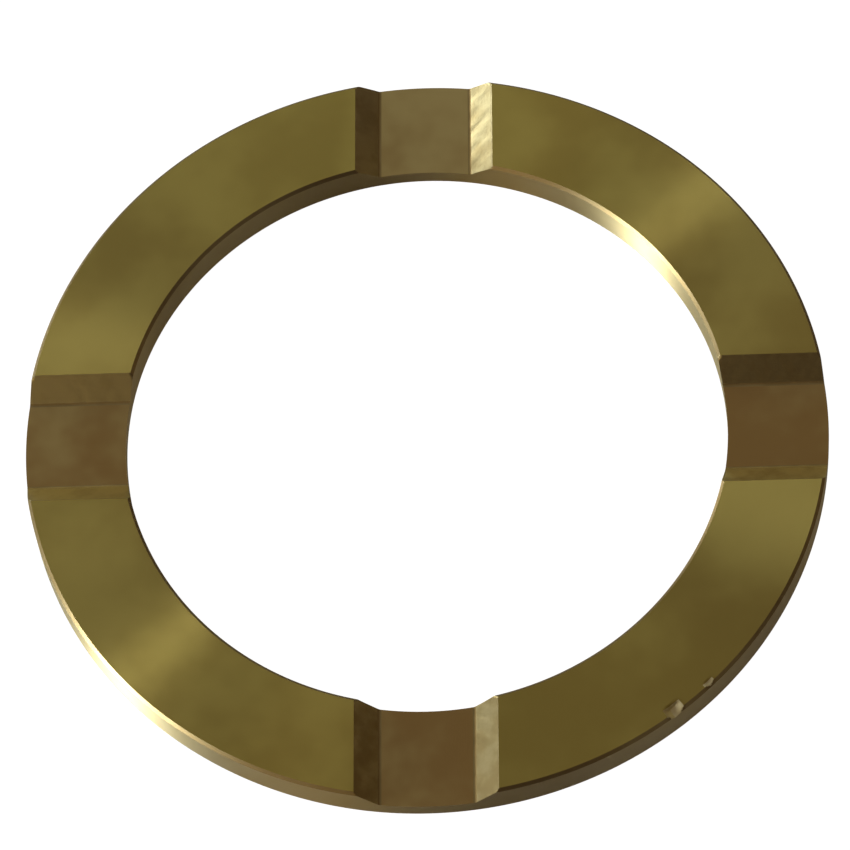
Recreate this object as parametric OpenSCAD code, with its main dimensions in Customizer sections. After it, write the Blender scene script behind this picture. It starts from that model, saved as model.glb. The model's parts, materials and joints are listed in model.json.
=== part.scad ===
// Thrust washer: a flat turned ring with wide oil grooves milled across its running face.
// The back lies on the XY plane, the bore runs along Z, and the grooved face looks up.

/* [Ring] */
// Outside diameter of the ring
outer_d = 80; // [68:0.5:120]
// Diameter of the bore
bore_d = 60; // [40:0.5:72]
// Thickness from the back to the running face
thickness = 4; // [2.6:0.1:10]
// Width of the 45 degree break on the rim and bore edges
edge_break = 0.3; // [0.1:0.05:0.7]

/* [Oil grooves] */
// Number of grooves, evenly spaced around the running face
groove_count = 4; // [2:1:8]
// Width of a groove where it opens in the running face
groove_mouth_w = 14; // [10:0.5:20]
// Depth of a groove below the running face
groove_depth = 2; // [0.8:0.1:3.2]
// Slope of a groove's flanks, measured from its floor
flank_angle = 40; // [30:1:80]
// Radius of the fillet where a flank meets the floor
floor_fillet_r = 0.5; // [0.2:0.1:3]

/* [Hidden] */
// Smoothness of round surfaces
$fn = 180;
// How far the groove cutter runs past the running face and the rim
cutter_clearance = 1;
// Radii of the rim and of the bore
outer_r = outer_d / 2;
bore_r = bore_d / 2;
// Half the groove's width at its mouth, and at the sharp corner of flank and floor
mouth_half_w = groove_mouth_w / 2;
corner_half_w = mouth_half_w - groove_depth / tan(flank_angle);
// Distance from that sharp corner to the points where the fillet meets floor and flank
fillet_reach = floor_fillet_r * tan(flank_angle / 2);
// Half the width of the flat floor between the fillets
floor_half_w = corner_half_w - fillet_reach;
// Half width and height of the point where the fillet runs into the flank
flank_foot_half_w = corner_half_w + fillet_reach * cos(flank_angle);
flank_foot_h = fillet_reach * sin(flank_angle);
// Height of the groove cutter, and its half width there along the line of the flank
cutter_h = groove_depth + cutter_clearance;
cutter_half_w = mouth_half_w + cutter_clearance / tan(flank_angle);

// Section of the turned ring, with its four edges broken; x is the radius and y the height
module ring_section() {
  polygon([
    [bore_r + edge_break, 0],
    [outer_r - edge_break, 0],
    [outer_r, edge_break],
    [outer_r, thickness - edge_break],
    [outer_r - edge_break, thickness],
    [bore_r + edge_break, thickness],
    [bore_r, thickness - edge_break],
    [bore_r, edge_break],
  ]);
}

// Section of a groove, with its floor on y = 0: straight flanks, and arcs in the two floor corners
module groove_section() {
  polygon([
    [-floor_half_w, 0],
    [floor_half_w, 0],
    [flank_foot_half_w, flank_foot_h],
    [cutter_half_w, cutter_h],
    [-cutter_half_w, cutter_h],
    [-flank_foot_half_w, flank_foot_h],
  ]);
  for (side = [-1, 1])
    translate([side * floor_half_w, floor_fillet_r])
      circle(r = floor_fillet_r);
}

// One groove's cutter: the section run straight out from the bore's axis past the rim
module groove_cutter() {
  translate([0, 0, thickness - groove_depth])
    rotate([90, 0, 90])
      linear_extrude(outer_r + cutter_clearance)
        groove_section();
}

module thrust_washer() {
  color("#8f7a3c")
    difference() {
      rotate_extrude() ring_section();
      for (i = [0 : groove_count - 1])
        rotate([0, 0, i * 360 / groove_count]) groove_cutter();
    }
}

thrust_washer();
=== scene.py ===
# %% [markdown]
# # A brass thrust washer
# A thrust washer is a flat ring that keeps two machine parts from rubbing on each other as one of them
# turns. This one was turned on a lathe and then milled: four wide grooves carry oil across its running
# face. The lesson builds the ring from a rule, gives each machined surface the finish that its tool left,
# and lights it mostly from one side, as a window would.

# %% Load the frame
import json
import math

import bpy
from mathutils import Matrix, Vector
from mathutils.bvhtree import BVHTree


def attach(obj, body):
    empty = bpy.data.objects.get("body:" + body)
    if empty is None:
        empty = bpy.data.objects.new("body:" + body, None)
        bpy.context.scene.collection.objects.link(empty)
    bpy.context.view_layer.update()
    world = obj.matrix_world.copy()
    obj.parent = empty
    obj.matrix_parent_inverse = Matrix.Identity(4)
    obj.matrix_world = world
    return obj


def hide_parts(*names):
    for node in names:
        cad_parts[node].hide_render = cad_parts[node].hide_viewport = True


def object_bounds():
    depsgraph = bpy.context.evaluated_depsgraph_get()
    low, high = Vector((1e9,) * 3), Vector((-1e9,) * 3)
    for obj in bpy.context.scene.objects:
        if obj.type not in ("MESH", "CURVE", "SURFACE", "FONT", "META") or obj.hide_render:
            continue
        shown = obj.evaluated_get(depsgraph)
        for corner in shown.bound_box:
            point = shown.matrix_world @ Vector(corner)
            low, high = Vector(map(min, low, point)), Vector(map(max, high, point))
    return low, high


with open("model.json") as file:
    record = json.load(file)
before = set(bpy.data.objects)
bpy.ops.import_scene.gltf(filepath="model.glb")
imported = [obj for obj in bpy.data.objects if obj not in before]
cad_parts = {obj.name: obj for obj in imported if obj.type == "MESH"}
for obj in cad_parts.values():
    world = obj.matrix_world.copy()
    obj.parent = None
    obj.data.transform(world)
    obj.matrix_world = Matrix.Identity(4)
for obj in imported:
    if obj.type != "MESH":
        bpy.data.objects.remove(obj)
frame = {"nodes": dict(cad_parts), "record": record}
cad_low, cad_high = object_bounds()
print("CAD box in mm:", [round(1000 * v, 2) for v in (*cad_low, *cad_high)])

# %% [markdown]
# ## Sizes
# The frame gives the ring's own sizes: the record's bore and rim mounts hold the two radii, and how much
# of each wall is left between the edge breaks. The groove's section repeats the values of the part,
# because the record has no place for them.

# %% Sizes of the ring and its grooves
MM = 0.001
mounts = {mount["name"]: mount for mount in frame["record"]["mounts"]}
outer_r = mounts["rim"]["dims"]["r_mm"] * MM
bore_r = mounts["bore"]["dims"]["r_mm"] * MM
thickness = cad_high.z - cad_low.z
edge_break = (thickness - mounts["bore"]["dims"]["length_mm"] * MM) / 2
groove_count = 4
groove_mouth_w = 14 * MM
groove_depth = 2 * MM
flank_slope = math.radians(40)
floor_fillet_r = 0.5 * MM
print(f"ring {2000 * outer_r:.1f} x {2000 * bore_r:.1f} x {1000 * thickness:.1f} mm,"
      f" edge break {1000 * edge_break:.2f} mm")

# %% [markdown]
# ## Formulas as nodes
# Geometry Nodes and materials both compute with Math nodes, and a long formula is hard to read as a list
# of nodes. A small class lets Python's own arithmetic place them: each sign of arithmetic on a `Field`
# adds one Math node and gives back its output as a new `Field`. Three helpers add and feed other nodes.


# %% A value that varies over a shape or a surface
class Field:
    """An output in a node tree that can be used in formulas."""

    def __init__(self, tree, socket):
        self.tree = tree
        self.socket = socket

    def math(self, operation, *others):
        node = self.tree.nodes.new("ShaderNodeMath")
        node.operation = operation
        for place, value in zip(node.inputs, (self, *others)):
            plug(self.tree, place, value)
        return Field(self.tree, node.outputs[0])

    def __add__(self, other):
        return self.math("ADD", other)

    def __sub__(self, other):
        return self.math("SUBTRACT", other)

    def __mul__(self, other):
        return self.math("MULTIPLY", other)

    def __truediv__(self, other):
        return self.math("DIVIDE", other)

    def __gt__(self, other):
        return self.math("GREATER_THAN", other)

    def __lt__(self, other):
        return self.math("LESS_THAN", other)

    def __abs__(self):
        return self.math("ABSOLUTE")

    def inverse(self):
        return self.math("POWER", -1.0)

    def root(self):
        return self.math("MAXIMUM", 0.0).math("SQRT")

    def ramp(self, start, end, rise="LINEAR"):
        """0 up to start, 1 from end on, and a rise between them."""
        node = self.tree.nodes.new("ShaderNodeMapRange")
        node.interpolation_type = rise
        for name, value in (("Value", self), ("From Min", start), ("From Max", end)):
            plug(self.tree, node.inputs[name], value)
        return Field(self.tree, node.outputs["Result"])

    def choose(self, when_one, when_zero):
        """One of two values, where this field is 1 or 0."""
        return self * when_one + (self * -1.0 + 1.0) * when_zero


# %% Helpers that add and feed nodes
def plug(tree, socket, value):
    """Feeds a socket from a field, or sets it to a plain value."""
    if isinstance(value, Field):
        tree.links.new(value.socket, socket)
    else:
        socket.default_value = value


def add(tree, kind, settings=None, **inputs):
    """A new node with its settings and inputs; an input's underscores stand for spaces in its name."""
    node = tree.nodes.new(kind)
    for name, value in (settings or {}).items():
        setattr(node, name, value)
    for name, value in inputs.items():
        plug(tree, node.inputs[name.replace("_", " ")], value)
    return node


def out(node, name=0):
    """A node's output as a field."""
    return Field(node.id_data, node.outputs[name])


# %% [markdown]
# ## The ring as a rule
# The ring could be a lathe profile with four boolean cuts, but booleans leave long thin faces that shade
# badly on metal. Instead a flat grid is rolled up. From row to row it follows the ring's section once
# round: along the back, up the rim, across the running face and down the bore. Each column is one such
# section, and the columns are closest where the grooves bend.

# %% Rows and columns of the grid
SECTION_ROWS = {
    "back": 4, "rim_lower_break": 2, "rim_wall": 7, "rim_upper_break": 3,
    "face": 58, "bore_upper_break": 3, "bore_wall": 7, "bore_lower_break": 2,
}
HALF_COLUMNS = {"floor": 6, "fillet": 5, "flank": 16, "land": 96}


def spans(counts):
    """Where each stretch starts and ends, as shares of the whole count."""
    total = sum(counts.values())
    place, result = 0, {}
    for name, count in counts.items():
        result[name] = (place / total, (place + count) / total)
        place += count
    return result


row_span = spans(SECTION_ROWS)
column_span = spans(HALF_COLUMNS)
rows = sum(SECTION_ROWS.values())
columns = 2 * groove_count * sum(HALF_COLUMNS.values())
print(f"grid of {columns} columns and {rows} rows, {2 * columns * rows} triangles")

# %% The tree's inputs
RING_INPUTS = {
    "Outer Radius": outer_r, "Bore Radius": bore_r, "Thickness": thickness, "Edge Break": edge_break,
    "Groove Count": groove_count, "Mouth Width": groove_mouth_w, "Groove Depth": groove_depth,
    "Flank Slope": flank_slope, "Floor Fillet": floor_fillet_r,
    "Mill Pitch": 1.5 * MM, "Mill Slant": math.radians(42),
    "Mouth Scallop": 0.008 * MM, "Foot Scallop": 0.025 * MM, "Calm Side": 0.2, "Seed": 3.0,
    "Large Nick Bearing": math.radians(-52), "Small Nick Bearing": math.radians(-45.8),
    "Small Nick Scale": 0.6, "Nick Length": 1.3 * MM, "Nick Reach": 1.15 * MM, "Nick Depth": 0.6 * MM,
}
ring_tree = bpy.data.node_groups.new("washer_ring", "GeometryNodeTree")
for name, value in RING_INPUTS.items():
    socket = ring_tree.interface.new_socket(name, in_out="INPUT", socket_type="NodeSocketFloat")
    socket.default_value = value
ring_tree.interface.new_socket("Geometry", in_out="OUTPUT", socket_type="NodeSocketGeometry")
ring_inputs = add(ring_tree, "NodeGroupInput")
size = {name: out(ring_inputs, name) for name in RING_INPUTS}
print("ring tree inputs:", ", ".join(RING_INPUTS))

# %% The flat grid, with each point's place kept as two attributes
GRID_HALF = 0.5
grid = add(ring_tree, "GeometryNodeMeshGrid", Size_X=2 * GRID_HALF, Size_Y=2 * GRID_HALF,
           Vertices_X=columns + 1, Vertices_Y=rows + 1)
place = add(ring_tree, "ShaderNodeSeparateXYZ", Vector=out(add(ring_tree, "GeometryNodeInputPosition")))


def store(geometry, name, value, domain="POINT", kind="FLOAT"):
    """Keeps a field on the mesh under a name."""
    node = add(ring_tree, "GeometryNodeStoreNamedAttribute", {"domain": domain, "data_type": kind},
               Geometry=geometry, Name=name, Value=value)
    return out(node, "Geometry")


def kept(name):
    """A field that was kept on the mesh."""
    node = add(ring_tree, "GeometryNodeInputNamedAttribute", {"data_type": "FLOAT"}, Name=name)
    return out(node, "Attribute")


shape = store(out(grid, "Mesh"), "round", out(place, "X") + GRID_HALF)
shape = store(shape, "section", out(place, "Y") + GRID_HALF)
round_share = kept("round")
section_share = kept("section")
print(f"flat grid of {(columns + 1) * (rows + 1)} points")

# %% Radius and height along the ring's section
flat_w = size["Outer Radius"] - size["Bore Radius"] - size["Edge Break"] * 2.0
wall_h = size["Thickness"] - size["Edge Break"] * 2.0
along = {name: section_share.ramp(*span) for name, span in row_span.items()}
radius = (
    size["Bore Radius"] + size["Edge Break"]
    + (along["back"] - along["face"]) * flat_w
    + (along["rim_lower_break"] - along["rim_upper_break"]) * size["Edge Break"]
    + (along["bore_lower_break"] - along["bore_upper_break"]) * size["Edge Break"]
)
turned_h = (
    (along["rim_lower_break"] + along["rim_upper_break"]) * size["Edge Break"]
    + (along["rim_wall"] - along["bore_wall"]) * wall_h
    - (along["bore_upper_break"] + along["bore_lower_break"]) * size["Edge Break"]
)
print("nodes for the turned section:", len(ring_tree.nodes))

# %% [markdown]
# ## The oil grooves
# On the real washer a cutter with sloping sides ran straight across the ring, so a groove has the same
# section all the way from bore to rim. Within a groove's mouth the columns therefore run parallel to its
# middle line, not towards the axis, and every edge of the groove falls exactly on mesh edges. The height
# of a point then depends only on its offset from that line: flat floor, fillet, straight flank.

# %% Each column's offset from the middle line of its groove
turns = round_share * size["Groove Count"]
groove_index = (turns + 0.5).math("FLOOR")
from_groove = turns - groove_index
side = from_groove.math("SIGN")
half_share = abs(from_groove) * 2.0
mouth_half = size["Mouth Width"] * 0.5
corner_half = mouth_half - size["Groove Depth"] / size["Flank Slope"].math("TANGENT")
fillet_reach = size["Floor Fillet"] * (size["Flank Slope"] * 0.5).math("TANGENT")
floor_half = corner_half - fillet_reach
foot_half = corner_half + fillet_reach * size["Flank Slope"].math("COSINE")
offset = (
    half_share.ramp(*column_span["floor"]) * floor_half
    + half_share.ramp(*column_span["fillet"]) * (foot_half - floor_half)
    + half_share.ramp(*column_span["flank"]) * (mouth_half - foot_half)
)
print("nodes with the offsets:", len(ring_tree.nodes))

# %% Each column's bearing, and the height of the groove's section
land_share = half_share.ramp(*column_span["land"])
half_sector = size["Groove Count"].inverse() * math.pi
edge_bearing = (offset / radius).math("ARCSINE")
from_middle = edge_bearing + land_share * (half_sector - edge_bearing)
bearing = groove_index * half_sector * 2.0 + side * from_middle
into_fillet = (offset - floor_half).math("MAXIMUM", 0.0)
fillet_r = size["Floor Fillet"]
fillet_rise = fillet_r - (fillet_r * fillet_r - into_fillet * into_fillet).root()
flank_rise = (offset - corner_half) * size["Flank Slope"].math("TANGENT")
rise = (offset < foot_half).choose(fillet_rise, flank_rise)
print("nodes with the grooves:", len(ring_tree.nodes))

# %% [markdown]
# ## Feed marks
# The cutter left shallow slanting scallops on the flanks, and they show where the light rakes across. A
# bump map could draw them, but real depth also ripples the flank's foot, as in the photograph. They are a
# cosine along the flank whose phase wanders with a noise, deepest at the foot. A cutter that runs right
# across the ring climbs on one side and cuts calmly on the other. So each groove has one rippled and one
# calm flank, on the same side in opposite grooves.

# %% Scallops on the flanks
WANDER_RATE = 0.45
WANDER_TURNS = 1.5
WANDER_BY_BEARING = 3.0
run = (radius * radius - offset * offset).root()
wander_at = add(ring_tree, "ShaderNodeCombineXYZ", X=run / size["Mill Pitch"] * WANDER_RATE,
                Y=bearing * WANDER_BY_BEARING + size["Seed"])
wander = add(ring_tree, "ShaderNodeTexNoise", {"noise_dimensions": "2D"}, Scale=1.0, Vector=out(wander_at))
slanted = run * size["Mill Slant"].math("COSINE") - offset * size["Mill Slant"].math("SINE")
phase = slanted / size["Mill Pitch"] + out(wander, 0) * WANDER_TURNS
second_half = groove_index.math("MODULO", size["Groove Count"]) > size["Groove Count"] * 0.5 - 0.5
climbing = side * (second_half * 2.0 - 1.0) > 0.0
up_flank = offset.ramp(foot_half, mouth_half)
scallop_depth = up_flank.choose(size["Mouth Scallop"], size["Foot Scallop"])
scallop_depth = scallop_depth * climbing.choose(1.0, size["Calm Side"])
scallop = ((phase * math.tau).math("COSINE") * 0.5 - 0.5) * scallop_depth
on_flank = offset.ramp(floor_half, foot_half)
above_land = (land_share > 0.0) * size["Thickness"]
milled_h = size["Thickness"] - size["Groove Depth"] + rise + scallop * on_flank + above_land
print("nodes with the feed marks:", len(ring_tree.nodes))

# %% [markdown]
# ## Nicks
# The rim's upper edge has taken two knocks. Each is a small notch, open to the rim, with a steep side and
# a sloping side that catches the light. A boolean with a wedge would do, but as heights they fit the same
# rule: the lowest of the turned, the milled and the nicked height is the surface that is left.

# %% Height of the nicks' floors
STEEP_SIDE = 0.6
DEEPEST_SHIFT = 0.5
INNER_CORNER = 0.85


def nick_h(name, scale):
    """Height of a notch's floor; lengths are shares of the notch's own length and reach."""
    gap = (bearing - size[name]).math("WRAP", math.pi, -math.pi)
    lengthwise = gap * size["Outer Radius"] / (size["Nick Length"] * scale) + DEEPEST_SHIFT
    inward = (size["Outer Radius"] - radius) / (size["Nick Reach"] * scale)
    sides = lengthwise.ramp(-STEEP_SIDE, 0.0) * lengthwise.ramp(1.0, 0.0)
    depth = size["Nick Depth"] * scale * scale
    return size["Thickness"] - sides * inward.ramp(1.0, INNER_CORNER) * depth


small_nick_h = nick_h("Small Nick Bearing", size["Small Nick Scale"])
nicked_h = nick_h("Large Nick Bearing", 1.0).math("MINIMUM", small_nick_h)
print(f"nicks up to {1000 * RING_INPUTS['Nick Depth']:.1f} mm deep")

# %% Join the heights, and place the points
SNAP = 0.0001 * MM
cut_h = milled_h.math("MINIMUM", nicked_h)
wall_top = size["Thickness"] - size["Edge Break"]
wall_scale = (cut_h.math("MINIMUM", wall_top) - size["Edge Break"]) / wall_h
wall_part = (turned_h - size["Edge Break"]).math("MAXIMUM", 0.0)
below_break = turned_h.math("MINIMUM", size["Edge Break"]) + wall_part * wall_scale
height = (turned_h > wall_top + SNAP).choose(turned_h.math("MINIMUM", cut_h), below_break)
position = add(ring_tree, "ShaderNodeCombineXYZ", X=radius * bearing.math("COSINE"),
               Y=radius * bearing.math("SINE"), Z=height)
placed = add(ring_tree, "GeometryNodeSetPosition", Geometry=shape, Position=out(position))
print("nodes with the nicks:", len(ring_tree.nodes))

# %% [markdown]
# ## Surfaces
# Every tool left its own skin, so each face has to know which tool cut it last. The row tells a turned
# face from a wall or an edge break, and the lowest height tells a groove or a nick. Edges that turn by
# more than 25 degrees stay crisp, and all else is shaded smooth. The tree ends with one Set Material
# for each surface.

# %% The surface of each face
ZONES = [
    "turned_face", "turned_wall", "edge_break", "groove_floor", "groove_corner", "groove_flank", "nick",
]
LEAST_NICK = 0.01 * MM


def between(start, end):
    """1 on the rows from the start of one stretch to the end of another."""
    return (section_share > row_span[start][0]) * (section_share < row_span[end][1])


on_walls = between("rim_wall", "rim_wall") + between("bore_wall", "bore_wall")
on_flats = between("back", "back") + between("face", "face")
on_top = between("rim_upper_break", "bore_upper_break")
turned_zone = (on_walls + on_flats).choose(on_walls, float(ZONES.index("edge_break")))
milled_zone = (offset > floor_half) + (offset > foot_half) + float(ZONES.index("groove_floor"))
zone = (on_top * (milled_h < turned_h)).choose(milled_zone, turned_zone)
in_nick = on_top * (nicked_h < turned_h - LEAST_NICK)
zone = in_nick.choose(float(ZONES.index("nick")), zone)
shape = store(out(placed, "Geometry"), "zone", zone, "FACE")
print("surfaces:", ", ".join(ZONES))

# %% Closed seams, crisp edges and materials
SEAM_GAP = 0.002 * MM
CRISP_ANGLE = math.radians(25)
merged = add(ring_tree, "GeometryNodeMergeByDistance", Geometry=shape, Distance=SEAM_GAP)
angle = out(add(ring_tree, "GeometryNodeInputMeshEdgeAngle"), "Unsigned Angle")
shape = store(out(merged, "Geometry"), "sharp_edge", angle > CRISP_ANGLE, "EDGE", "BOOLEAN")
smooth = add(ring_tree, "GeometryNodeSetShadeSmooth", Geometry=shape)
real = add(ring_tree, "GeometryNodeRealizeInstances", Geometry=out(smooth, "Geometry"))
shape = out(real, "Geometry")
materials = {name: bpy.data.materials.new(name) for name in ZONES}
for number, name in enumerate(ZONES):
    this_zone = abs(kept("zone") - float(number)) < 0.5
    node = add(ring_tree, "GeometryNodeSetMaterial", Geometry=shape, Selection=this_zone)
    node.inputs["Material"].default_value = materials[name]
    shape = out(node, "Geometry")
ring_outputs = add(ring_tree, "NodeGroupOutput")
ring_tree.links.new(shape.socket, ring_outputs.inputs["Geometry"])
print("nodes of the whole ring:", len(ring_tree.nodes))

# %% [markdown]
# ## From rule to mesh
# A modifier runs the tree on an object with an empty mesh. Its inputs are set by the sockets'
# identifiers, and the evaluated result becomes a plain mesh of its own, so nothing is left live on the
# finished piece. The attributes that steered the tree are then removed.

# %% Evaluate the ring
blank = bpy.data.objects.new("washer_blank", bpy.data.meshes.new("washer_blank"))
bpy.context.scene.collection.objects.link(blank)
modifier = blank.modifiers.new("washer_ring", "NODES")
modifier.node_group = ring_tree
for item in ring_tree.interface.items_tree:
    if item.in_out == "INPUT":
        modifier[item.identifier] = float(RING_INPUTS[item.name])
bpy.context.view_layer.update()
evaluated = blank.evaluated_get(bpy.context.evaluated_depsgraph_get())
washer_mesh = bpy.data.meshes.new_from_object(evaluated)
washer_mesh.name = "washer"
washer = bpy.data.objects.new("washer", washer_mesh)
bpy.context.scene.collection.objects.link(washer)
bpy.data.objects.remove(blank)
for name in ("round", "section", "zone"):
    washer_mesh.attributes.remove(washer_mesh.attributes[name])
if washer_mesh.materials[0] is None:
    washer_mesh.materials.pop(index=0)
print(f"washer: {len(washer_mesh.vertices)} points, {len(washer_mesh.polygons)} faces")

# %% Count the faces of each surface
slot_faces = [0] * len(washer_mesh.materials)
for polygon in washer_mesh.polygons:
    slot_faces[polygon.material_index] += 1
for material, face_count in zip(washer_mesh.materials, slot_faces):
    print(f"  {material.name}: {face_count} faces")

# %% [markdown]
# ## Against the solid
# The mesh stands for the CAD solid, so it has to lie on it everywhere but in the nicks. The distance of
# every point from the solid's surface tests that, and in a closed skin every edge joins two faces.

# %% Compare the mesh with the CAD solid
cad_mesh = frame["nodes"]["thrust_washer"].data
cad_points = [vertex.co for vertex in cad_mesh.vertices]
cad_search = BVHTree.FromPolygons(cad_points, [polygon.vertices for polygon in cad_mesh.polygons])
gaps = sorted(cad_search.find_nearest(vertex.co)[3] for vertex in washer_mesh.vertices)
print(f"distance from the CAD solid: 99% of points within {1000 * gaps[int(0.99 * len(gaps))]:.3f} mm,"
      f" nicks to {1000 * gaps[-1]:.3f} mm")
edge_faces = {}
for polygon in washer_mesh.polygons:
    for key in polygon.edge_keys:
        edge_faces[key] = edge_faces.get(key, 0) + 1
print("open or doubled edges:", sum(count != 2 for count in edge_faces.values()))

# %% [markdown]
# ## Finishes
# All the surfaces are the same brass, but no two look the same, because each was cut in another way and
# some colours also hold painted light and shade. Two effects are shared by all of them, so each is a node
# group that is built once and placed in every material with its own values: the tarnish group, which also
# carries the painted light and shade, and `tool_marks`.


# %% A shader group with named inputs and outputs
def shader_group(name, inputs, outputs):
    """A new group, its inputs as fields, and its output node."""
    tree = bpy.data.node_groups.new(name, "ShaderNodeTree")
    kinds = {"value": "NodeSocketFloat", "color": "NodeSocketColor"}
    for label, kind in inputs.items():
        tree.interface.new_socket(label, in_out="INPUT", socket_type=kinds[kind])
    for label, kind in outputs.items():
        tree.interface.new_socket(label, in_out="OUTPUT", socket_type=kinds[kind])
    entry = add(tree, "NodeGroupInput")
    return tree, {label: out(entry, label) for label in inputs}, add(tree, "NodeGroupOutput")


def mix_color(share, when_zero, when_one):
    """Two colours mixed by a field; the Mix node's sockets for colours are known by their places."""
    node = add(share.tree, "ShaderNodeMix", {"data_type": "RGBA"})
    factor, first, second = node.inputs[0], node.inputs[6], node.inputs[7]
    for socket, value in ((factor, share), (first, when_zero), (second, when_one)):
        plug(share.tree, socket, value)
    return out(node, 2)


# %% [markdown]
# ## Tarnish and painted light
# Handled brass goes from yellow to brown in soft patches, and dulls as it does. The same mix also holds
# painted light and shade: it leans towards the aged colour on the near and right side, away from the
# windows; the two side grooves get painted darker floors and paler flanks than the others; and one place
# on the right of the face is painted brighter where a fan of light falls. An image could hold the stain,
# but a noise on Object coordinates needs no unwrapping.

# %% The inputs of the group for tarnish and painted light, and its patches
PATCH_DETAIL = 3.0
PATCH_GRAIN = 0.55
PATCH_LOW = 0.3
PATCH_HIGH = 0.7
PATCH_CONTRAST = 0.7
tarnish_and_painted_light, given, result = shader_group(
    "tarnish_and_painted_light",
    {"Clean": "color", "Aged": "color", "Clean Roughness": "value", "Aged Roughness": "value",
     "Patch Size": "value", "Amount": "value", "Side Grooves": "value", "Rubbed": "value"},
    {"Color": "color", "Roughness": "value"},
)
spot = out(add(tarnish_and_painted_light, "ShaderNodeTexCoord"), "Object")
patch = add(tarnish_and_painted_light, "ShaderNodeTexNoise", Vector=spot, Detail=PATCH_DETAIL, Roughness=PATCH_GRAIN,
            Scale=given["Patch Size"].inverse())
patches = (out(patch, 0).ramp(PATCH_LOW, PATCH_HIGH, "SMOOTHSTEP") - 0.5) * PATCH_CONTRAST
print("tarnish inputs:", ", ".join(given))

# %% Where the mix leans: painted shade away from the windows, a painted highlight, and the side grooves
# Painted shade and light: the mix leans towards the aged colour on the near and right side, away from the
# windows, which is darker on most surfaces and paler on the walls.
LIGHT_LEAN_X = -0.55
LIGHT_LEAN_Y = 0.83
LIGHT_LEAN_SHARE = 0.35
# Painted highlight: a patch on the right of the face, where a fan of light falls, is made cleaner and
# brighter.
HIGHLIGHT_BEARING = math.radians(-17)
HIGHLIGHT_RADIUS = 35 * MM
HIGHLIGHT_EDGE = 12 * MM
HIGHLIGHT_CORE = 4 * MM
spot_xyz = add(tarnish_and_painted_light, "ShaderNodeSeparateXYZ", Vector=spot)
spot_x = out(spot_xyz, "X")
spot_y = out(spot_xyz, "Y")
painted_light_lean = (spot_y * LIGHT_LEAN_Y + spot_x * LIGHT_LEAN_X) / outer_r * LIGHT_LEAN_SHARE
highlight_at = Vector((math.cos(HIGHLIGHT_BEARING), math.sin(HIGHLIGHT_BEARING), 0)) * HIGHLIGHT_RADIUS
highlight_from = add(tarnish_and_painted_light, "ShaderNodeVectorMath", {"operation": "DISTANCE"})
plug(tarnish_and_painted_light, highlight_from.inputs[0], spot)
plug(tarnish_and_painted_light, highlight_from.inputs[1], highlight_at + Vector((0, 0, thickness)))
painted_highlight = out(highlight_from, "Value").ramp(HIGHLIGHT_EDGE, HIGHLIGHT_CORE, "SMOOTHSTEP") * given["Rubbed"]
# In the side grooves the mix shifts by the Side Grooves input: a painted shade on their floors and a
# painted light on their flanks.
sideways = (abs(spot_x) > abs(spot_y)) * given["Side Grooves"]
print("rubbed place in mm:", [round(1000 * v, 1) for v in highlight_at])

# %% The colour and roughness of the group for tarnish and painted light
ALL_CLEAN = -0.15
ALL_AGED = 1.15
# The amount holds the tarnish patches together with the painted light and shade.
amount = patches + given["Amount"] - painted_light_lean - painted_highlight + sideways
aged = amount.ramp(ALL_CLEAN, ALL_AGED, "SMOOTHSTEP")
roughness_span = given["Aged Roughness"] - given["Clean Roughness"]
plug(tarnish_and_painted_light, result.inputs["Color"], mix_color(aged, given["Clean"], given["Aged"]))
plug(tarnish_and_painted_light, result.inputs["Roughness"], given["Clean Roughness"] + aged * roughness_span)
print("tarnish nodes:", len(tarnish_and_painted_light.nodes))

# %% [markdown]
# ## Tool marks
# A cutting tool leaves fine parallel lines of uneven depth. They are far too fine for the mesh, so they
# are a height for a Bump node: a noise along one line, across the cuts, with a broader one under it.

# %% The tool marks group
FINE_DETAIL = 2.0
BROAD_DETAIL = 1.0
BROAD_RATE = 0.13
BROAD_SHARE = 0.3
tool_marks, given, result = shader_group(
    "tool_marks", {"Distance": "value", "Pitch": "value"}, {"Height": "value"})
cuts = given["Distance"] / given["Pitch"]
fine = add(tool_marks, "ShaderNodeTexNoise", {"noise_dimensions": "1D"}, W=cuts, Detail=FINE_DETAIL)
broad = add(tool_marks, "ShaderNodeTexNoise", {"noise_dimensions": "1D"}, W=cuts * BROAD_RATE,
            Detail=BROAD_DETAIL)
marks_height = out(fine, 0) * (1.0 - BROAD_SHARE) + out(broad, 0) * BROAD_SHARE
plug(tool_marks, result.inputs["Height"], marks_height)
print("tool marks nodes:", len(tool_marks.nodes))

# %% [markdown]
# ## One brass finish
# Each material is one metal shader. The group for tarnish and painted light feeds its colour and
# roughness, and the tool marks its bump. A turned surface also stretches its highlights across the cuts,
# which is what draws the fan of light on a lathe-turned face: the shader's anisotropy does that, with a
# tangent that runs round the axis.


# %% The distance across the cuts, for each kind of mark
def marks_distance(tree, kind):
    """From the axis for a turned face, up for a wall, and sideways for a groove."""
    spot = add(tree, "ShaderNodeSeparateXYZ", Vector=out(add(tree, "ShaderNodeTexCoord"), "Object"))
    x, y, z = (out(spot, axis) for axis in "XYZ")
    if kind == "round":
        return (x * x + y * y).root()
    if kind == "up":
        return z
    return (abs(x) > abs(y)).choose(y, x)


# %% A function that fills one material
MARKS_DEPTH = 0.1 * MM
ROUND_THE_AXIS = 0.25


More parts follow.
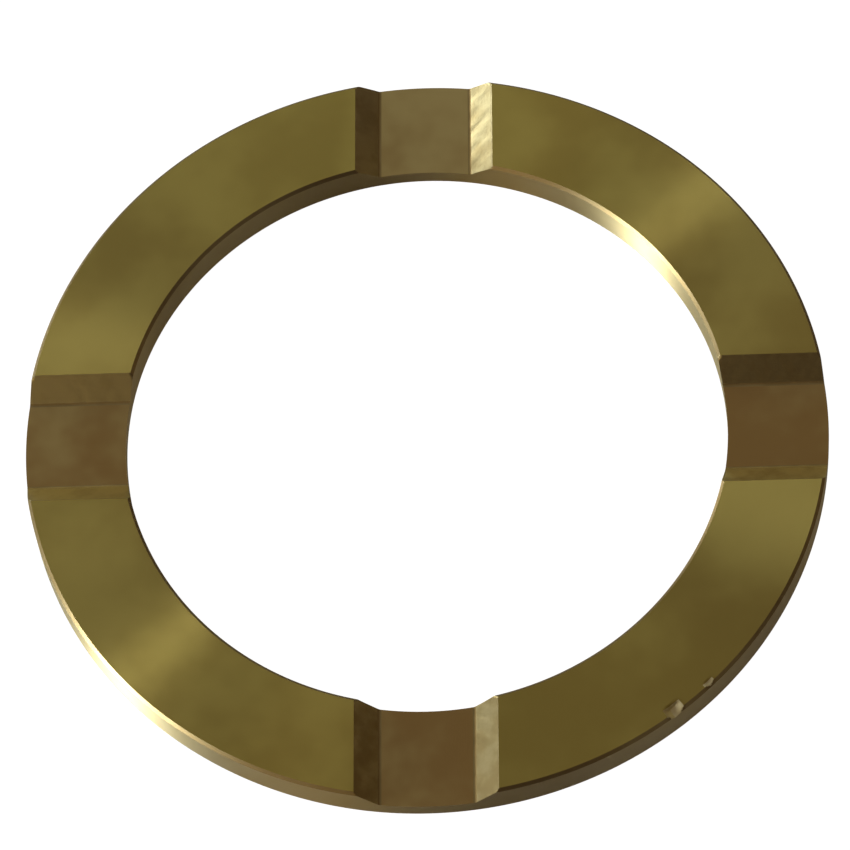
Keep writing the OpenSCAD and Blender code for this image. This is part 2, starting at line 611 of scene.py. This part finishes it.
def brass_finish(name, clean, aged, roughness, patch_size, amount, marks, pitch, bump,
                 anisotropy=0.0, side_grooves=0.0, painted_highlight=0.0):
    """Tarnished brass with painted light and shade and its tool marks; roughness is a pair, clean and
    aged.
    """
    materials[name].use_nodes = True
    tree = materials[name].node_tree
    shader = tree.nodes["Principled BSDF"]
    shader.inputs["Metallic"].default_value = 1.0
    age = add(tree, "ShaderNodeGroup", {"node_tree": tarnish_and_painted_light}, Clean=(*clean, 1), Aged=(*aged, 1),
              Clean_Roughness=roughness[0], Aged_Roughness=roughness[1], Patch_Size=patch_size,
              Amount=amount, Side_Grooves=side_grooves, Rubbed=painted_highlight)
    plug(tree, shader.inputs["Base Color"], out(age, "Color"))
    plug(tree, shader.inputs["Roughness"], out(age, "Roughness"))
    if anisotropy:
        shader.inputs["Anisotropic"].default_value = anisotropy
        shader.inputs["Anisotropic Rotation"].default_value = ROUND_THE_AXIS
        tangent = add(tree, "ShaderNodeTangent", {"direction_type": "RADIAL", "axis": "Z"})
        plug(tree, shader.inputs["Tangent"], out(tangent))
    cuts = add(tree, "ShaderNodeGroup", {"node_tree": tool_marks},
               Distance=marks_distance(tree, marks), Pitch=pitch)
    relief = add(tree, "ShaderNodeBump", Strength=bump, Distance=MARKS_DEPTH, Height=out(cuts, "Height"))
    plug(tree, shader.inputs["Normal"], out(relief, "Normal"))
    print(f"{name}: roughness {roughness[0]} to {roughness[1]}, marks every {1000 * pitch:.2f} mm")


# %% [markdown]
# ## Turned faces
# The lands and the back are faced on the lathe with a fine feed, so they carry close rings round the
# axis. Their olive yellow comes from an even skin of tarnish. Full anisotropy keeps the fans of light as
# narrow as they are in the photograph.

# %% Finish of the turned faces
# The face's last argument paints a patch on the right cleaner and brighter where a fan of light falls: a
# painted highlight.
brass_finish("turned_face", clean=(0.74, 0.60, 0.165), aged=(0.51, 0.375, 0.095), roughness=(0.285, 0.31),
             patch_size=12 * MM, amount=0.5, marks="round", pitch=0.22 * MM, bump=0.10,
             anisotropy=1.0, painted_highlight=1.0)

# %% [markdown]
# ## Rim and bore walls
# The walls were turned with a coarser cut. Here the aged colour is the paler one, so the mix's lean
# towards the near and right side paints the walls paler there and whitens the window's highlight on the
# lower-left rim: a painted highlight. A rough surface spreads each window up and down the wall, and the
# anisotropy keeps it narrow round the ring.

# %% Finish of the walls
brass_finish("turned_wall", clean=(0.89, 0.79, 0.44), aged=(0.92, 0.84, 0.54), roughness=(0.64, 0.66),
             patch_size=6 * MM, amount=0.4, marks="up", pitch=0.3 * MM, bump=0.12, anisotropy=1.0)

# %% [markdown]
# ## Edge breaks
# A light touch with a tool took the sharp corner off each edge. These narrow cones are painted darker than
# the surfaces on both sides of them, a painted shade that keeps their reflections of the windows dim.

# %% Finish of the edge breaks
brass_finish("edge_break", clean=(0.52, 0.42, 0.21), aged=(0.42, 0.31, 0.13), roughness=(0.36, 0.40),
             patch_size=6 * MM, amount=0.4, marks="up", pitch=0.3 * MM, bump=0.04)

# %% [markdown]
# ## Groove floors
# The groove floors are browner than the lands. The floors of the two side grooves are painted darker and
# browner than the others, a painted shade that the group's Side Grooves input sets.

# %% Finish of the groove floors
brass_finish("groove_floor", clean=(0.70, 0.54, 0.215), aged=(0.45, 0.275, 0.095), roughness=(0.35, 0.42),
             patch_size=9 * MM, amount=0.5, marks="across", pitch=0.35 * MM, bump=0.12, side_grooves=0.36)

# %% [markdown]
# ## Groove corners
# The fillet at the foot of each flank is painted dark, a painted shade in the crease. Without it the
# fillet would mirror the ceiling and the wall behind as bright thin lines, and the photograph hardly shows
# any.

# %% Finish of the groove corners
brass_finish("groove_corner", clean=(0.48, 0.36, 0.155), aged=(0.38, 0.275, 0.11), roughness=(0.45, 0.50),
             patch_size=3 * MM, amount=0.5, marks="across", pitch=0.35 * MM, bump=0.05)

# %% [markdown]
# ## Groove flanks
# The flanks were cut by the side of the cutter and stayed paler than the floors. In the two grooves at the
# sides they are painted paler still, a painted light that stands in for the light those flanks catch. They
# are mottled in small spots, which shows on the flanks that face the window.

# %% Finish of the groove flanks
brass_finish("groove_flank", clean=(0.66, 0.59, 0.315), aged=(0.42, 0.335, 0.148), roughness=(0.30, 0.36),
             patch_size=2.5 * MM, amount=0.5, marks="across", pitch=0.35 * MM, bump=0.12,
             side_grooves=-0.35)

# %% [markdown]
# ## Bare metal in the nicks
# A knock bares fresh metal, which is paler than the tarnished skin and rougher than a cut surface. The
# pale colour is partly that fresh metal and partly a painted highlight, so that the nick's glint shows
# brighter.

# %% Finish of the nicks
brass_finish("nick", clean=(0.96, 0.88, 0.54), aged=(0.88, 0.78, 0.42), roughness=(0.45, 0.50),
             patch_size=1 * MM, amount=0.3, marks="up", pitch=0.2 * MM, bump=0.05)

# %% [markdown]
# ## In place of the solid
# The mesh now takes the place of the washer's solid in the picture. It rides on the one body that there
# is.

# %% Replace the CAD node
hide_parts("thrust_washer")
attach(washer, "root")
print("the washer replaces the thrust_washer node on the root body")

# %% [markdown]
# ## Camera
# The photograph looks down on the washer through a long lens, a little from the right and slightly
# rolled. The camera is placed by those angles round a point near the middle of the ring, so each of them
# can be changed by itself.

# %% Camera
CAMERA_AZIMUTH = math.radians(6.25)
CAMERA_ELEVATION = math.radians(62.94)
CAMERA_ROLL = math.radians(-7.24)
CAMERA_DISTANCE = 0.55
AIM = Vector((-0.0002, 0.0022, 0.0))
LENS_MM = 232.9
SENSOR_MM = 36.0


def direction(azimuth, elevation):
    """A unit vector; azimuth is counted from +X towards +Y."""
    level = math.cos(elevation)
    return Vector((math.cos(azimuth) * level, math.sin(azimuth) * level, math.sin(elevation)))


to_camera = direction(CAMERA_AZIMUTH - math.pi / 2, CAMERA_ELEVATION)
camera = bpy.data.objects.new("camera", bpy.data.cameras.new("camera"))
bpy.context.scene.collection.objects.link(camera)
camera.data.lens = LENS_MM
camera.data.sensor_width = SENSOR_MM
facing = to_camera.to_track_quat("Z", "Y").to_matrix().to_4x4()
rolled = facing @ Matrix.Rotation(CAMERA_ROLL, 4, "Z")
camera.matrix_world = Matrix.Translation(AIM + to_camera * CAMERA_DISTANCE) @ rolled
bpy.context.scene.camera = camera
print("camera at", [round(v, 3) for v in camera.matrix_world.translation])

# %% [markdown]
# ## Floor
# The washer lies on a white card. The camera sees the card's shadows lifted, as on a light table, while
# the metal still mirrors the card as it is lit. From below the card is clear, and rays that start right
# on top of it pass through, so that the washer's back can be looked at too.

# %% The card's shape
FLOOR_HALF = 3.0
FLOOR_GAP = 0.02 * MM
corners = [(-1, -1), (1, -1), (1, 1), (-1, 1)]
floor_points = [(FLOOR_HALF * x, FLOOR_HALF * y, -FLOOR_GAP) for x, y in corners]
floor_mesh = bpy.data.meshes.new("floor")
floor_mesh.from_pydata(floor_points, [], [(0, 1, 2, 3)])
floor = bpy.data.objects.new("floor", floor_mesh)
bpy.context.scene.collection.objects.link(floor)
print(f"card {2 * FLOOR_HALF:.0f} m wide, {1000 * FLOOR_GAP:.2f} mm under the washer")

# %% The card's material
CARD_GREY = 0.54
CARD_ROUGHNESS = 0.9
CARD_LIFT = 0.6
CARD_GLOW = 1.7
RESTING = 0.1 * MM
card = bpy.data.materials.new("white_card")
card.use_nodes = True
floor_mesh.materials.append(card)
tree = card.node_tree
paper = tree.nodes["Principled BSDF"]
paper.inputs["Base Color"].default_value = (CARD_GREY, CARD_GREY, CARD_GREY, 1)
paper.inputs["Roughness"].default_value = CARD_ROUGHNESS
lit = add(tree, "ShaderNodeEmission", Strength=CARD_GLOW)
clear = add(tree, "ShaderNodeBsdfTransparent")
ray = add(tree, "ShaderNodeLightPath")
from_below = out(add(tree, "ShaderNodeNewGeometry"), "Backfacing")
passes = from_below.math("MAXIMUM", out(ray, "Ray Length") < RESTING)


def mix_shader(share, first, second):
    """Two shaders mixed by a field."""
    node = add(tree, "ShaderNodeMixShader")
    for socket, value in zip(node.inputs, (share, first, second)):
        plug(tree, socket, value)
    return out(node)


seen = mix_shader(out(ray, "Is Camera Ray") * CARD_LIFT, out(paper, "BSDF"), out(lit, "Emission"))
plug(tree, tree.nodes["Material Output"].inputs["Surface"], mix_shader(passes, seen, out(clear)))
print(f"card of grey {CARD_GREY}, lifted {CARD_LIFT:.0%} towards white for the camera")

# %% [markdown]
# ## Light
# Metal shows what stands around it. The highlights in the photograph would fit a bright window low on the
# left, a doorway in front of it, pale walls behind and on the right, and a dim room. Soft panels give the
# same with plain means, the window as three panes: the narrow near pane draws the brightest fans of light
# on the face, the far pane fills the flanks that face it, and the warm panels keep the shaded flanks
# brown. A front fill and a lamp under the card serve the views from behind and below.

# %% A soft panel that faces the washer
PANEL_DISTANCE = 2.8


def panel(name, azimuth, elevation, width, height, watts, color=(1.0, 1.0, 1.0)):
    """A rectangle of light; the angles are in degrees, azimuth from +X towards +Y."""
    data = bpy.data.lights.new(name, "AREA")
    data.shape = "RECTANGLE"
    data.size = width
    data.size_y = height
    data.energy = watts
    data.color = color
    lamp = bpy.data.objects.new(name, data)
    bpy.context.scene.collection.objects.link(lamp)
    way = direction(math.radians(azimuth), math.radians(elevation))
    facing = way.to_track_quat("Z", "Y").to_matrix().to_4x4()
    lamp.matrix_world = Matrix.Translation(way * PANEL_DISTANCE) @ facing
    print(f"panel {name}: {watts} W over {width} x {height} m")


# %% The panels
panel("window_far", azimuth=140, elevation=10, width=0.65, height=0.90, watts=12.2)
panel("window_near", azimuth=200, elevation=9.5, width=0.36, height=0.88, watts=43.0)
panel("window_between", azimuth=169, elevation=17, width=0.80, height=1.04, watts=4.5)
panel("doorway", azimuth=240, elevation=36, width=1.20, height=1.30, watts=3.6,
      color=(1.0, 0.74, 0.40))
panel("back_wall", azimuth=93, elevation=17, width=2.40, height=1.50, watts=5.4,
      color=(0.95, 1.0, 0.58))
panel("right_wall", azimuth=15, elevation=12, width=1.60, height=1.00, watts=0.6,
      color=(1.0, 0.72, 0.38))
panel("front_fill", azimuth=322, elevation=13, width=2.00, height=0.90, watts=1.2,
      color=(1.0, 0.93, 0.80))
panel("under_card", azimuth=90, elevation=-50, width=3.00, height=3.00, watts=10.0)

# %% [markdown]
# ## Room
# The lands and the groove floors mirror the ceiling to the camera, so the ceiling sets how bright they
# are. One more panel could stand for it, but the metal would show the panel's edge. A World shader fades
# instead from a pale patch of ceiling to a dim, warm room. The Standard view leaves the white card white.

# %% The room
CEILING_AZIMUTH = math.radians(96)
CEILING_ELEVATION = math.radians(63)
CEILING_EDGE = 0.4
CEILING_CORE = 0.97
CEILING_LIGHT = 0.225
ROOM_LIGHT = 0.024
ROOM_COLOR = (1.0, 0.50, 0.28, 1)
CEILING_COLOR = (1.0, 0.99, 0.97, 1)
world = bpy.data.worlds.new("room")
bpy.context.scene.world = world
world.use_nodes = True
tree = world.node_tree
toward = add(tree, "ShaderNodeVectorMath", {"operation": "DOT_PRODUCT"})
plug(tree, toward.inputs[0], out(add(tree, "ShaderNodeTexCoord"), "Generated"))
plug(tree, toward.inputs[1], direction(CEILING_AZIMUTH, CEILING_ELEVATION))
ceiling = out(toward, "Value").ramp(CEILING_EDGE, CEILING_CORE)
background = tree.nodes["Background"]
plug(tree, background.inputs["Color"], mix_color(ceiling, ROOM_COLOR, CEILING_COLOR))
plug(tree, background.inputs["Strength"], ceiling * CEILING_LIGHT + ROOM_LIGHT)
bpy.context.scene.view_settings.view_transform = "Standard"
print(f"room of strength {ROOM_LIGHT}, ceiling {ROOM_LIGHT + CEILING_LIGHT:.3f}")
